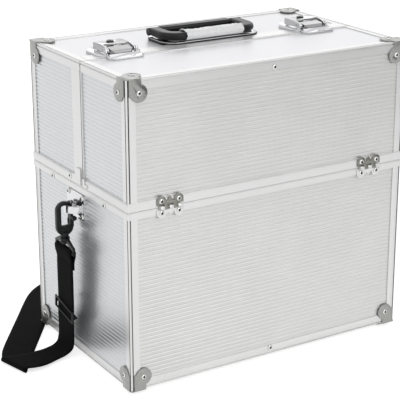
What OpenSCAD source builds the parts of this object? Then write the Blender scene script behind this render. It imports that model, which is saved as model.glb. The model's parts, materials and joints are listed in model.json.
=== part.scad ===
// Upright makeup case: a ribbed aluminium-look base with two lids that meet over the middle.
// Each lid lifts two cantilever trays. Millimetres, Z up, origin on the ground under the centre.

/* [Case] */
// Width of the case over its frame, along X
case_w = 360; // [330:1:400]
// Depth of the case over its frame, along Y
case_d = 226; // [212:1:250]
// Height of the case over its frame, without the feet
case_h = 343; // [335:1:380]
// Height of the split between base and lids, above the underside of the case
split_h = 203; // [190:1:210]
// Visible height of the feet
foot_h = 5; // [3:0.5:8]
// Middle of the gap between the lids along Y, negative towards the front
gap_y = -11.75; // [-20:0.25:-6]
// Width of the gap between the lids
gap_w = 1.5; // [1:0.1:2.5]

/* [Frame] */
// Width of a face of the edge extrusions
rail_w = 11; // [9:0.5:14]
// Thickness of the extrusions' legs
rail_t = 1.2; // [0.8:0.1:2]
// Thickness of the panels
panel_t = 4; // [3:0.5:6]
// Radius of the extrusions' outer edge
edge_r = 1.2; // [0.6:0.1:1.2]
// Distance from the edge to the groove in each face
groove_in = 1.6; // [1.4:0.1:2]
// Width of the groove
groove_w = 1.4; // [1:0.1:1.8]
// Depth of the groove
groove_deep = 1.1; // [0.3:0.1:1.2]
// Width of the raised ridge beside the groove
ridge_w = 1.8; // [1:0.1:2.5]
// Step from the ridge down to the flat
ridge_step = 0.25; // [0.1:0.05:0.4]
// How far the rims at the split stand out from the frame
rim_out = 1; // [0.5:0.1:1.5]
// Height of the base's rim
rim_low_h = 8; // [7:0.5:10]
// Height of the lids' rims
rim_high_h = 10; // [8:0.5:12]
// Thickness of the rims' inner lips
rim_lip = 1.2; // [0.8:0.1:1.5]
// Gap between the rims of the base and the lids
rim_gap = 0.4; // [0.2:0.1:0.8]
// Width of the rear lid's flat meeting stile
stile_w = 20; // [14:1:24]
// Thickness of the edge strips that close the panels at the meeting line
edge_strip = 1.8; // [1:0.1:2.5]
// Thickness of the rubber seal in the gap between the lids
seal_t = 1.2; // [0.6:0.1:1.2]
// Thickness of the small plates at the foot of the meeting line
foot_plate_t = 1.2; // [0.8:0.1:1.6]

/* [Panels] */
// Distance from one rib to the next
rib_pitch = 4.6; // [3:0.1:8]
// Width of the groove between two ribs
rib_groove = 1.8; // [0.8:0.1:2.4]
// Depth of the groove between two ribs
rib_deep = 0.4; // [0.2:0.05:0.8]
// Thickness of the fabric lining
lining_t = 1.5; // [1:0.1:2]

/* [Corner caps] */
// Radius of the disc on each leaf
cap_r = 9.8; // [8:0.1:11]
// Distance of a disc from the case's edges
cap_in = 14.5; // [13:0.5:17]
// Thickness of the caps' sheet
cap_t = 1.2; // [0.8:0.1:1.6]
// Width of the bare slot along the upright edge
cap_slot = 3; // [2:0.5:4]
// Radius of the rubber feet
foot_r = 8; // [6:0.5:9]

/* [Hinges] */
// Distance of the hinges from the case's middle
hinge_x = 131; // [110:1:140]
// Width of a hinge leaf
leaf_w = 32; // [30:1:40]
// Thickness of a hinge leaf
leaf_t = 1.2; // [0.8:0.1:1.4]
// Radius of the knuckles
knuckle_r = 2.2; // [1.8:0.1:2.4]
// Radius of the hinge pins
pin_r = 1.1; // [0.8:0.1:1.2]
// Distance of the hinge rivets from the hinge's middle
leaf_rivet_x = 10.5; // [9:0.5:11]
// Running clearance of pins and studs in their bores
run_fit = 0.06; // [0.02:0.01:0.1]
// Clearance between turning parts that pass each other
side_gap = 0.3; // [0.2:0.05:0.4]

/* [Rivets] */
// Radius of the rivets' shanks
rivet_r = 1.6; // [1.2:0.1:2]
// Radius of the rivets' heads
rivet_head_r = 3.1; // [2.6:0.1:3.6]
// Height of the rivets' heads
rivet_head_h = 1.2; // [0.8:0.1:1.6]

/* [Trays] */
// Distance of the first arm's pivot inside the frame
arm_in = 13; // [12.5:0.5:16]
// Height of the arm pivots above the split
arm_up = 2; // [1:0.5:4]
// Distance between the two arms of a pair
arm_step = 16; // [15:0.5:18]
// Width of the arms' round eyes
arm_w = 9; // [8:0.5:9.5]
// Width of the arms between their eyes
arm_neck = 7.4; // [6:0.2:7.8]
// Thickness of the arms
arm_t = 2; // [1.5:0.1:2]
// Lean of the arms when the lids are closed, from upright
arm_lean = 45; // [40:1:45]
// Distance of the last stud from a tray's inner wall
stud_in = 4.8; // [4.5:0.1:8]
// Radius of the pivot studs
stud_r = 2; // [1.5:0.1:2.2]
// Gap between a closed lower tray and the upper tray on it
tray_gap = 3.1; // [1:0.1:6]
// Thickness of the trays' walls
tray_wall = 2; // [1.5:0.1:3]
// Radius of the trays' upright corners
tray_r = 5; // [3:0.5:8]
// Gap from the meeting line to the front trays
tray_meet = 4.5; // [3:0.5:8]
// Distance of the drag link's pin along the outer arm
link_at = 64; // [58:1:70]
// Dividers in a lower tray
lower_dividers = 2; // [1:1:4]
// Dividers in an upper tray
upper_dividers = 3; // [1:1:5]

/* [Latches] */
// Distance of the latches from the case's middle
latch_x = 127; // [110:1:135]
// Width of a latch's base plate
latch_plate_w = 54; // [48:1:60]
// Width of a latch's cover
latch_cover_w = 34; // [28:1:36]
// Height of a latch's cover over the lid
latch_cover_h = 10.5; // [9:0.5:12]
// Distance from the lever's axis to the draw hook's pivot
latch_throw = 8; // [6:0.5:9]
// Width of the draw hook
draw_hook_w = 26; // [18:1:27]
// Radius of the key plug
plug_r = 4; // [3:0.1:5]

/* [Handle] */
// Half length of the handle
handle_l = 62; // [55:1:68]
// Distance of the grip's near side from the case's middle
handle_near = 5; // [3:1:8]
// Distance of the pivot from the case's middle
handle_pivot = 50; // [46:1:56]
// Width of the grip and the arms
grip_w = 16; // [12:1:18]
// Thickness of the grip and the arms
grip_t = 8.7; // [7:0.1:11]
// Outer radius of the handle's corners
handle_r = 22; // [18:1:26]
// Width of the bright rim round the handle's base
handle_rim_w = 7; // [5:0.5:9]

/* [Strap] */
// Middle of the strap plates along Y
loop_y = 9; // [0:1:15]
// Height of a strap plate's middle above the base
loop_z = 178; // [160:1:179]
// Outer radius of the arch on a strap plate
arch_r = 13.5; // [13:0.1:14]
// Height of the arch's band
arch_h = 8; // [6:0.5:9]
// Width of the webbing
strap_w = 38; // [38:1:38]
// Thickness of the webbing
strap_t = 1.6; // [1.2:0.1:1.6]

/* [Hidden] */
$fn = 40;
hw = case_w / 2;
hd = case_d / 2;
z_low = foot_h;
z_split = foot_h + split_h;
z_top = foot_h + case_h;
meet_front = gap_y - gap_w / 2;
meet_rear = gap_y + gap_w / 2;
panel_in = rail_t + panel_t;
stile_end = meet_rear + stile_w;
inner_x = hw - panel_in;
inner_y = hd - panel_in;
clear_x = inner_x - lining_t;
rim_seat = 3;
rim_bevel = 0.4;
rim_low_z = z_split - rim_low_h;
rim_high_z = z_split + rim_high_h;

// Hinge axis, measured outward from the middle as the second coordinate
axis_u = hd + rim_out + knuckle_r + side_gap;
axis_z = z_split;

// Rivet rows
rivet_low_z = z_split - 6;
rivet_high_z = z_split + 7;
rail_rivet = 8;
rim_rivet_y = 62;
foot_plate_y = stile_end + 6;

// Linkage planes across the case, from the lining inward
bracket_t = 2;
bracket_x = clear_x - bracket_t;
bracket_drop = 20;
arm_x = bracket_x - 1.8 - arm_t;
tray_x = arm_x - 1;
link_x = arm_x + arm_t + 0.9;
link_t = 1.5;
thin_gap = 0.1;
stud_head = 0.6;

// Linkage points as [outward, up] for a side whose trays start at inner
arm_1 = [hd - arm_in, z_split + arm_up];
arm_2 = [arm_1[0] - arm_step, arm_1[1]];
tray_in_front = -meet_front + tray_meet;
tray_in_rear = meet_rear + tray_meet;
tray_out = hd - arm_in - 1;
arm_long = (arm_2[0] - tray_in_front - stud_in) / sin(arm_lean);
arm_short = arm_long / 2;
tray_h = arm_short * cos(arm_lean) - tray_gap;
lower_z = arm_1[1] + arm_short * cos(arm_lean);
upper_z = arm_1[1] + arm_long * cos(arm_lean);
function on_arm(foot, far) = [foot[0] - far * sin(arm_lean), foot[1] + far * cos(arm_lean)];
link_arm = on_arm(arm_1, link_at);
link_lid = link_arm - (arm_1 - [axis_u, axis_z]);

// Latch places over the rear lid's top
latch_axis = [-5, z_top + 5.5];
latch_pivot = [latch_axis[0] + latch_throw, latch_axis[1]];
latch_plate_t = 1.5;
latch_pin_r = 1.5;
cover_front = latch_pivot[0] + 3.5;
cover_back = 35;
cover_t = 1.6;
plug_y = 19;
latch_lobe_y = plug_y + 5;
latch_lobe_cut = 12;
latch_plate_end = cover_back + 4;
ear_t = 2;

// Handle heights
handle_base_t = 1.2;
handle_plate_t = 0.8;
handle_z = z_top + handle_base_t + handle_plate_t + 1.3 + grip_t / 2;
housing_x = handle_l - grip_w - side_gap;
film_t = 0.5;
film_l = 36;

// Strap plate, hook and eye, on the left end
loop_t = 1.2;
loop_x = hw - rail_t + loop_t;
arch_low = foot_h + loop_z - 3 - arch_h / 2;
hook_x = hw + 14.5;
hook_top = arch_low + arch_h + side_gap;
hook_t = 5;
hook_low = hook_top - 35;
gate_low = hook_top - 21;
gate_high = hook_top - 8;
gate_pin = [7.8, gate_low - 3];
gate_pin_r = 1;
eye_z = 133;
boss_low = eye_z + 8.5;
boss_top = eye_z + 14;
stem_low = eye_z + 6.4;
stem_r = 2.5;
bar_r = 2.2;
eye_half = strap_w / 2 + 3.2;
eye_t = 2.8;

// Copies of a piece on both ends, both long sides, or all four corners
module both_ends() {
    children();
    mirror([1, 0, 0]) children();
}
module both_sides() {
    children();
    mirror([0, 1, 0]) children();
}
module four_corners() {
    both_ends() both_sides() children();
}

// Turns a piece drawn with +Y outward to the front or the rear
module on_side(front) {
    if (front) mirror([0, 1, 0]) children();
    else children();
}

// A box between two heights, centred on the case
module block(half_x, half_y, low, high) {
    translate([-half_x, -half_y, low]) cube([2 * half_x, 2 * half_y, high - low]);
}

// Extrudes an outline drawn as [outward, up] along X, from one X to another
module along_x(from, to) {
    translate([from, 0, 0]) rotate([90, 0, 90]) linear_extrude(to - from) children();
}

// Extrudes an outline drawn as [X, up] along Y
module along_y(from, to) {
    translate([0, to, 0]) rotate([90, 0, 0]) linear_extrude(to - from) children();
}

// A rectangle with round corners, of true arcs
module round_rect(x1, y1, x2, y2, r) {
    translate([x1 + r, y1]) square([x2 - x1 - 2 * r, y2 - y1]);
    translate([x1, y1 + r]) square([x2 - x1, y2 - y1 - 2 * r]);
    for (x = [x1 + r, x2 - r], y = [y1 + r, y2 - r]) translate([x, y]) circle(r);
}

// A bar with round ends between two points
module slot_bar(a, b, r) {
    d = b - a;
    translate(a) circle(r);
    translate(b) circle(r);
    translate(a) rotate(atan2(d[1], d[0])) translate([0, -r]) square([norm(d), 2 * r]);
}

// Section of the edge extrusion, its outer edge at the origin and its legs along both axes
module edge_section() {
    difference() {
        polygon([
            for (turn = [180 : 22.5 : 270]) [edge_r + edge_r * cos(turn), edge_r + edge_r * sin(turn)],
            [rail_w, 0], [rail_w, rail_t], [panel_in, rail_t], [panel_in, panel_in], [rail_t, panel_in],
            [rail_t, rail_w], [0, rail_w]
        ]);
        for (side = [0, 1]) mirror([side, -side, 0]) {
            translate([groove_in, -1]) square([groove_w, 1 + groove_deep]);
            translate([groove_in + groove_w + ridge_w, -1]) square([rail_w, 1 + ridge_step]);
        }
    }
}

// Upright edge extrusion at the left front corner
module corner_post(low, high) {
    translate([-hw, -hd, low]) linear_extrude(high - low) edge_section();
}

// Web in the left front corner that joins the post to both rails, its underside at a height
module corner_web(low) {
    translate([-hw + rail_t, -hd + rail_t, low]) cube([rail_w - rail_t, rail_w - rail_t, rail_t]);
}

// Edge extrusion along X over the front edge, its other leg downward from a height
module top_rail_x() {
    along_x(-hw + rail_w, hw - rail_w) translate([-hd, z_top]) mirror([0, 1]) edge_section();
}

// Edge extrusion along Y over the left end's top edge
module top_rail_y(from, to) {
    along_y(from, to) translate([-hw, z_top]) mirror([0, 1]) edge_section();
}

// Section of a ribbed panel, as [depth from the outer face, height]
module rib_section(h) {
    count = floor((h - rib_pitch) / rib_pitch);
    first = (h - count * rib_pitch) / 2;
    polygon([
        [panel_t, 0],
        [0, 0],
        for (i = [0 : count]) each [
            [0, first + i * rib_pitch - rib_groove / 2],
            [rib_deep, first + i * rib_pitch - rib_groove / 5],
            [rib_deep, first + i * rib_pitch + rib_groove / 5],
            [0, first + i * rib_pitch + rib_groove / 2]
        ],
        [0, h],
        [panel_t, h]
    ]);
}
module ribbed_front(low, high) {
    along_x(-inner_x, inner_x) translate([-hd + rail_t, low]) rib_section(high - low);
}
module ribbed_end(from, to, low, high) {
    along_y(from, to) translate([-hw + rail_t, low]) rib_section(high - low);
}

// Rim at the split: an outer leg with bevelled edges, an inner lip and a slot for the panels
module rim_ring(low, high, slot_low, slot_high) {
    difference() {
        union() {
            block(hw + rim_out - rim_bevel, hd + rim_out - rim_bevel, low, high);
            block(hw + rim_out, hd + rim_out, low + rim_bevel * 3, high - rim_bevel * 3);
        }
        block(inner_x - rim_lip, inner_y - rim_lip, low - 1, high + 1);
        difference() {
            block(hw - rail_t, hd - rail_t, slot_low, slot_high);
            block(inner_x, inner_y, slot_low - 1, slot_high + 1);
        }
    }
}

// Tubular rivet on a face, its head above the plane, or the hole that it needs
module rivet(deep, hole) {
    if (hole) {
        translate([0, 0, -deep - 0.5]) cylinder(r = rivet_r + run_fit, h = deep + 1);
    } else {
        r = rivet_head_r;
        h = rivet_head_h;
        rotate_extrude() polygon([
            [0, -deep], [rivet_r, -deep], [rivet_r, 0], [r, 0], [0.95 * r, 0.35 * h],
            [0.8 * r, 0.7 * h], [0.55 * r, 0.95 * h], [0.33 * r, h], [0.26 * r, 0.45 * h], [0, 0.35 * h]
        ]);
    }
}
module out_front(at, deep, hole) {
    translate(at) rotate([90, 0, 0]) rivet(deep, hole);
}
module out_left(at, deep, hole) {
    translate(at) rotate([0, -90, 0]) rivet(deep, hole);
}
module out_top(at, deep, hole) {
    translate(at) rivet(deep, hole);
}

// Rivets of the hinges, at the given height, on the front side
module hinge_rivets(z, hole) {
    for (x = [-hinge_x, hinge_x], off = [-leaf_rivet_x, leaf_rivet_x])
        out_front([x + off, -hd - rim_out - leaf_t, z], leaf_t + rim_out + rail_t, hole);
}
// Rivets of the left front corner cap's upright leaves, for a disc at the given height
module cap_side_rivets(z, hole) {
    out_front([-hw + cap_in, -hd - cap_t, z], cap_t + rail_t, hole);
    out_left([-hw - cap_t, -hd + cap_in, z], cap_t + rail_t, hole);
}
module top_cap_rivets(hole) {
    cap_side_rivets(z_top - cap_in, hole);
    out_top([-hw + cap_in, -hd + cap_in, z_top + cap_t], cap_t + rail_t, hole);
}
module loop_rivets(hole) {
    for (y = [-16, 16], z = [-11, 11])
        out_left([-loop_x, loop_y + y, foot_h + loop_z + z], loop_t, hole);
}
module base_rail_rivets(hole) {
    both_sides() out_front([0, -hd, z_low + rail_rivet], rail_t, hole);
}
module base_rim_rivets(hole) {
    four_corners() out_left([-hw - rim_out, -rim_rivet_y, rivet_low_z], rim_out + rail_t, hole);
}

module foot_plate_rivets(hole) {
    both_ends() out_left([-hw - rim_out - foot_plate_t, foot_plate_y, rivet_high_z], foot_plate_t, hole);
}

// Corner cap over the left front top corner: a top leaf and two upright leaves, each with a disc
module cap_leaf(start) {
    translate([cap_in, cap_in]) circle(cap_r);
    polygon([
        [start, -cap_t], [cap_in + 3, -cap_t], [cap_in + 3, cap_in - 4], [cap_in - 4, cap_in + 7],
        [start, cap_in + 3]
    ]);
}
module corner_cap() {
    linear_extrude(cap_t) {
        translate([cap_in, cap_in]) circle(cap_r);
        polygon([
            [-cap_t, 1], [1, -cap_t], [cap_in + 3, -cap_t], [cap_in + 3, cap_in],
            [cap_in, cap_in + 3], [-cap_t, cap_in + 3]
        ]);
    }
    for (side = [0, 1]) mirror([side, -side, 0])
        translate([0, -cap_t, 0]) rotate([-90, 0, 0]) linear_extrude(cap_t) cap_leaf(cap_slot);
}

// Outline of a hinge leaf, as [along the hinge, distance from its axis]
module leaf_outline(rivet_far, peak) {
    low = knuckle_r + side_gap;
    difference() {
        union() {
            translate([-leaf_w / 2, low]) square([leaf_w, rivet_far - low]);
            for (x = [-leaf_rivet_x, leaf_rivet_x])
                translate([x, rivet_far]) circle(leaf_w / 2 - leaf_rivet_x);
            polygon([[-5, low], [5, low], [2.2, peak - 3], [0, peak], [-2.2, peak - 3]]);
        }
        translate([-leaf_w, -leaf_w]) square([2 * leaf_w, leaf_w + low]);
    }
}

// Hinge leaf for the front side, with the knuckles of the given turn, its plate going up from the axis
module hinge_leaf(rivet_far, peak, first) {
    count = 5;
    seg = (leaf_w - 6 - (count - 1) * side_gap) / count;
    back = hd + rim_out;
    foot = min(knuckle_r + 3, rivet_far - rivet_head_r - 0.1);
    difference() {
        union() {
            along_y(-back - leaf_t, -back) translate([0, axis_z]) leaf_outline(rivet_far, peak);
            for (i = [first : 2 : count - 1]) {
                from = -(leaf_w - 6) / 2 + i * (seg + side_gap);
                along_x(from, from + seg) translate([-axis_u, axis_z]) {
                    circle(knuckle_r);
                    polygon([
                        [axis_u - back, foot], [axis_u - back - leaf_t, foot],
                        [-knuckle_r * 0.9, 0.45 * knuckle_r], [0, 0], [knuckle_r, 0],
                        [axis_u - back, knuckle_r]
                    ]);
                }
            }
        }
        along_x(-leaf_w, leaf_w) translate([-axis_u, axis_z]) circle(pin_r + run_fit);
    }
}
module upper_leaves() {
    difference() {
        for (x = [-hinge_x, hinge_x]) translate([x, 0, 0]) hinge_leaf(rivet_high_z - axis_z, 12, 1);
        hinge_rivets(rivet_high_z, true);
    }
}
module lower_leaves() {
    difference() {
        for (x = [-hinge_x, hinge_x]) translate([x, 0, 2 * axis_z]) mirror([0, 0, 1])
            hinge_leaf(axis_z - rivet_low_z, 9, 0);
        hinge_rivets(rivet_low_z, true);
    }
}

// Base
module base_side_panels() {
    color("lightgray") both_sides() ribbed_front(z_low + panel_in, z_split - rim_seat);
}
module base_end_panels() {
    color("lightgray") both_ends() ribbed_end(-inner_y, inner_y, z_low + panel_in, z_split - rim_seat);
}
module base_floor() {
    color("darkgray") block(inner_x, inner_y, z_low + rail_t, z_low + panel_in);
}
module base_frame() {
    color("gainsboro") difference() {
        union() {
            four_corners() corner_post(z_low, rim_low_z);
            four_corners() corner_web(z_low);
            both_sides() along_x(-hw + rail_w, hw - rail_w) translate([-hd, z_low]) edge_section();
            both_ends() along_y(-hd + rail_w, hd - rail_w) translate([-hw, z_low]) edge_section();
        }
        base_rail_rivets(true);
    }
}
module base_rim_rail() {
    color("gainsboro") difference() {
        rim_ring(rim_low_z, z_split - rim_gap / 2, rim_low_z - 1, z_split - rim_seat);
        both_sides() hinge_rivets(rivet_low_z, true);
        base_rim_rivets(true);
    }
}
module bottom_corner_caps() {
    color("silver") four_corners() difference() {
        translate([-hw, -hd, z_low]) mirror([0, 0, 1]) corner_cap();
        cap_side_rivets(z_low + cap_in, true);
    }
}
module rubber_feet() {
    color("dimgray") four_corners() translate([-hw + cap_in, -hd + cap_in, 0]) rotate_extrude() polygon([
        [0, 0], [foot_r - 1, 0], [foot_r, 1], [foot_r, z_low - cap_t], [0, z_low - cap_t]
    ]);
}
module base_lining() {
    color("darkslategray") difference() {
        block(inner_x, inner_y, z_low + panel_in, rim_low_z);
        block(clear_x, inner_y - lining_t, z_low + panel_in + lining_t, rim_low_z + 1);
    }
}
module hinge_lower_leaves() {
    color("silver") both_sides() lower_leaves();
}
module hinge_pins() {
    color("silver") both_sides() for (x = [-hinge_x, hinge_x])
        along_x(x - leaf_w / 2 + 3, x + leaf_w / 2 - 3) translate([-axis_u, axis_z]) circle(pin_r);
}
module strap_loop_plates() {
    z = foot_h + loop_z;
    color("silver") both_ends() difference() {
        union() {
            translate([-loop_x, 0, 0]) rotate([90, 0, 90]) linear_extrude(loop_t)
                round_rect(loop_y - 21, z - 15, loop_y + 21, z + 15, 5);
            translate([-loop_x, loop_y, arch_low]) linear_extrude(arch_h) intersection() {
                difference() {
                    circle(arch_r);
                    circle(arch_r - 2);
                }
                translate([-arch_r - 1, -arch_r - 1]) square([arch_r + 1 + loop_t / 2, 2 * arch_r + 2]);
            }
        }
        loop_rivets(true);
    }
}
module base_rivets() {
    color("silver") {
        both_sides() hinge_rivets(rivet_low_z, false);
        four_corners() cap_side_rivets(z_low + cap_in, false);
        both_ends() loop_rivets(false);
        base_rail_rivets(false);
        base_rim_rivets(false);
    }
}
// Plates inside the ends that carry the arms' studs just above the rim
module tray_arm_brackets() {
    collar = 1.5 * stud_r + 0.5;
    color("silver") four_corners() {
        along_x(bracket_x, bracket_x + bracket_t) {
            round_rect(arm_2[0] - 6, arm_1[1] - bracket_drop, arm_1[0] + 5, arm_1[1] - 5, 3);
            translate([arm_2[0] - 5, arm_1[1] - 12]) square([arm_step + 10, 12]);
            for (foot = [arm_1, arm_2]) translate(foot) circle(5);
        }
        for (foot = [arm_1, arm_2]) {
            along_x(arm_x + arm_t + thin_gap, bracket_x) translate(foot) circle(collar);
            along_x(arm_x - thin_gap - stud_head, bracket_x) translate(foot) circle(stud_r);
            along_x(arm_x - thin_gap - stud_head, arm_x - thin_gap) translate(foot) circle(collar);
        }
        for (u = [arm_2[0], arm_1[0]])
            translate([bracket_x, u, arm_1[1] - 15]) rotate([0, -90, 0]) cylinder(r1 = 2.6, r2 = 1.6, h = 1);
    }
}

// Pieces that both lids have, drawn with +Y outward from the meeting line at inner
module lid_ends(inner) {
    both_ends() difference() {
        ribbed_end(inner, inner_y, z_split + rim_seat, z_top - panel_in);
        along_x(-clear_x - 5, -clear_x) translate(link_lid) circle(stud_r + run_fit);
    }
}
module lid_lining(inner) {
    difference() {
        translate([-inner_x, inner, rim_high_z])
            cube([2 * inner_x, inner_y - inner, z_top - panel_in - rim_high_z]);
        translate([-clear_x, inner - 1, rim_high_z - 1])
            cube([2 * clear_x, inner_y - lining_t - inner + 1, z_top - panel_in - lining_t - rim_high_z + 1]);
        both_ends() along_x(-inner_x - 1, -clear_x + 1) translate(link_lid) circle(stud_r + side_gap);
    }
}
module lid_top(inner) {
    translate([-inner_x, inner, z_top - panel_in]) cube([2 * inner_x, inner_y - inner, panel_t]);
}
module lid_edges(inner) {
    both_ends() mirror([0, 1, 0]) corner_post(rim_high_z, z_top);
    both_ends() mirror([0, 1, 0]) corner_web(z_top - rail_t);
    mirror([0, 1, 0]) top_rail_x();
    both_ends() top_rail_y(inner, hd - rail_w);
}
// Strip that closes the panels' edge along the meeting line, over the top and down both ends
module lid_edge_strip(inner, thick) {
    translate([-hw + rail_w, inner, z_top - panel_in]) cube([case_w - 2 * rail_w, thick, panel_in]);
    both_ends() translate([-hw, inner, rim_high_z]) cube([panel_in, thick, z_top - rail_w - rim_high_z]);
}
module lid_rail(limit) {
    intersection() {
        rim_ring(z_split + rim_gap / 2, rim_high_z, z_split + rim_seat, rim_high_z + 1);
        translate([-case_w, limit, 0]) cube([2 * case_w, case_d, 2 * case_h]);
    }
}
module lid_cap_rivets(hole) {
    both_ends() top_cap_rivets(hole);
    out_front([0, -hd, z_top - rail_rivet], rail_t, hole);
}
module lid_caps() {
    both_ends() difference() {
        translate([-hw, -hd, z_top]) corner_cap();
        top_cap_rivets(true);
    }
}

// Front lid
module front_lid_panel() {
    color("lightgray") ribbed_front(z_split + rim_seat, z_top - panel_in);
}
module front_lid_top() {
    color("gainsboro") on_side(true) lid_top(-meet_front + edge_strip);
}
module front_lid_ends() {
    color("lightgray") on_side(true) lid_ends(-meet_front + edge_strip);
}
module front_lid_frame() {
    color("gainsboro") {
        difference() {
            on_side(true) lid_edges(-meet_front);
            lid_cap_rivets(true);
        }
        on_side(true) lid_edge_strip(-meet_front, edge_strip);
        both_ends() along_x(-hw - rim_out - foot_plate_t, -hw - rim_out) translate([meet_front, z_split])
            polygon([[-1.5, 1.5], [-1.5, 11], [-5.5, 11], [-5.5, 5.5], [-11, 5.5], [-11, 1.5]]);
    }
}
module front_lid_rail() {
    color("gainsboro") difference() {
        on_side(true) lid_rail(-meet_front);
        hinge_rivets(rivet_high_z, true);
    }
}
module front_lid_caps() {
    color("silver") lid_caps();
}
module front_lid_lining() {
    color("darkslategray") on_side(true) lid_lining(-meet_front);
}
module front_hinge_leaves() {
    color("silver") upper_leaves();
}
module front_lid_rivets() {
    color("silver") {
        lid_cap_rivets(false);
        hinge_rivets(rivet_high_z, false);
    }
}
// Keepers that the draw hooks reach over, on the front lid's edge
module latch_keepers() {
    w = latch_plate_w * 0.4;
    near = meet_front + 0.1;
    sill = meet_front - edge_strip;
    color("silver") for (x = [-latch_x, latch_x]) translate([x, 0, z_top]) {
        linear_extrude(latch_plate_t) polygon([
            [-w, near], [w, near], [w, near - 6], [w - 5, near - 11.5], [5 - w, near - 11.5], [-w, near - 6]
        ]);
        translate([0, 0, -rail_t]) linear_extrude(rail_t) polygon([
            [-w, sill], [w, sill], [w, near - 6], [w - 5, near - 11.5], [5 - w, near - 11.5], [-w, near - 6]
        ]);
        along_x(-w + 3, w - 3) polygon([
            [near, 0], [near, 3], [near - 1.5, 3.5], [near - 5, latch_plate_t], [near - 5, 0]
        ]);
    }
}

// Rear lid
module rear_lid_panel() {
    color("lightgray") on_side(true) ribbed_front(z_split + rim_seat, z_top - panel_in);
}
module rear_lid_top() {
    color("gainsboro") lid_top(meet_rear + edge_strip);
}
module rear_lid_ends() {
    color("lightgray") lid_ends(meet_rear + edge_strip);
}
module rear_lid_frame() {
    color("gainsboro") {
        difference() {
            lid_edges(meet_rear);
            on_side(true) lid_cap_rivets(true);
        }
        lid_edge_strip(meet_rear, edge_strip);
        translate([-hw + rail_w, meet_rear + edge_strip, z_top - rail_t])
            cube([case_w - 2 * rail_w, stile_w - edge_strip, rail_t]);
        both_ends() translate([-hw, meet_rear + edge_strip, rim_high_z])
            cube([rail_t, stile_w - edge_strip, z_top - rail_w - rim_high_z]);
        both_ends() difference() {
            union() {
                along_x(-hw - rim_out - foot_plate_t, -hw) translate([meet_rear, z_split]) polygon([
                    [1.5, rim_high_h], [stile_w + 8, rim_high_h], [stile_w - 6, rim_high_h + 2],
                    [stile_w - 8, rim_high_h + 10], [1.5, rim_high_h + 10]
                ]);
                along_x(-hw - rim_out - foot_plate_t, -hw - rim_out) translate([meet_rear, z_split])
                    polygon([[1.5, 1.5], [stile_w + 11, 1.5], [stile_w + 11, rim_high_h], [1.5, rim_high_h]]);
            }
            foot_plate_rivets(true);
        }
    }
}
module rear_lid_rail() {
    color("gainsboro") difference() {
        lid_rail(meet_rear);
        on_side(true) hinge_rivets(rivet_high_z, true);
    }
}
module rear_lid_caps() {
    color("silver") on_side(true) lid_caps();
}
module rear_lid_lining() {
    color("darkslategray") lid_lining(meet_rear);
}
module rear_hinge_leaves() {
    color("silver") on_side(true) upper_leaves();
}
module rear_lid_rivets() {
    color("silver") {
        on_side(true) lid_cap_rivets(false);
        on_side(true) hinge_rivets(rivet_high_z, false);
        foot_plate_rivets(false);
    }
}
module meeting_seal() {
    color("dimgray") along_y(meet_rear - seal_t, meet_rear) difference() {
        translate([-hw + 1.5, z_split + 1]) square([case_w - 3, case_h - split_h - 2.5]);
        translate([-hw + 4, z_split]) square([case_w - 8, case_h - split_h - 4]);
    }
}

// Latches, drawn at X = 0
module latch_ear_outline() {
    translate(latch_axis) circle(3);
    translate([latch_axis[0] - 3, z_top]) square([6, latch_axis[1] - z_top]);
}
module latch_base_plates() {
    w = latch_plate_w / 2;
    ear_x = latch_cover_w / 2 + side_gap;
    color("silver") for (x = [-latch_x, latch_x]) translate([x, 0, 0]) {
        translate([0, 0, z_top]) linear_extrude(latch_plate_t) polygon([
            [-w + 6, meet_rear + 0.5], [w - 6, meet_rear + 0.5], [w, 0], [w, latch_lobe_y],
            [w - latch_lobe_cut, latch_plate_end], [latch_lobe_cut - w, latch_plate_end],
            [-w, latch_lobe_y], [-w, 0]
        ]);
        translate([0, 0, z_top - rail_t]) linear_extrude(rail_t) polygon([
            [-w, stile_end], [w, stile_end], [w, latch_lobe_y], [w - latch_lobe_cut, latch_plate_end],
            [latch_lobe_cut - w, latch_plate_end], [-w, latch_lobe_y]
        ]);
        both_ends() along_x(ear_x, ear_x + ear_t) difference() {
            latch_ear_outline();
            translate(latch_axis) circle(latch_pin_r + run_fit);
        }
    }
}
// Side outline of the lever: a cover that falls to the back, and cheeks that reach the axis
module lever_outline() {
    top = z_top + latch_cover_h;
    polygon([
        [cover_front, top], [cover_back - 9, top - 0.5], [cover_back, z_top + 5], [cover_back, z_top + 2.2],
        [latch_axis[0], latch_axis[1] - 2.6], [latch_axis[0], latch_axis[1] + 2.6], [cover_front - 5, top - 1]
    ]);
    translate(latch_axis) circle(2.6);
}
module latch_lever() {
    w = latch_cover_w / 2;
    top = z_top + latch_cover_h;
    color("silver") {
        difference() {
            along_x(-w, w) lever_outline();
            along_x(-w + cover_t, w - cover_t) translate([latch_axis[0] - 5, z_top])
                square([cover_back - cover_t - latch_axis[0] + 5, latch_cover_h - cover_t - 0.5]);
            translate([-w + cover_t, latch_axis[0] - 5, z_top])
                cube([2 * w - 2 * cover_t, cover_front - latch_axis[0] + 5, 2 * latch_cover_h]);
            translate([0, plug_y, z_top]) cylinder(r = plug_r + run_fit, h = 2 * latch_cover_h);
            for (side = [-1, 1]) translate([side * w, cover_back, z_top]) rotate([0, 0, 45])
                translate([-6, -6, 0]) cube([12, 12, 2 * latch_cover_h]);
        }
        both_ends() along_x(w - cover_t, w + side_gap + ear_t) translate(latch_axis) circle(latch_pin_r);
        along_x(-w + cover_t, w - cover_t) translate(latch_pivot) circle(latch_pin_r);
    }
}
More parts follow.
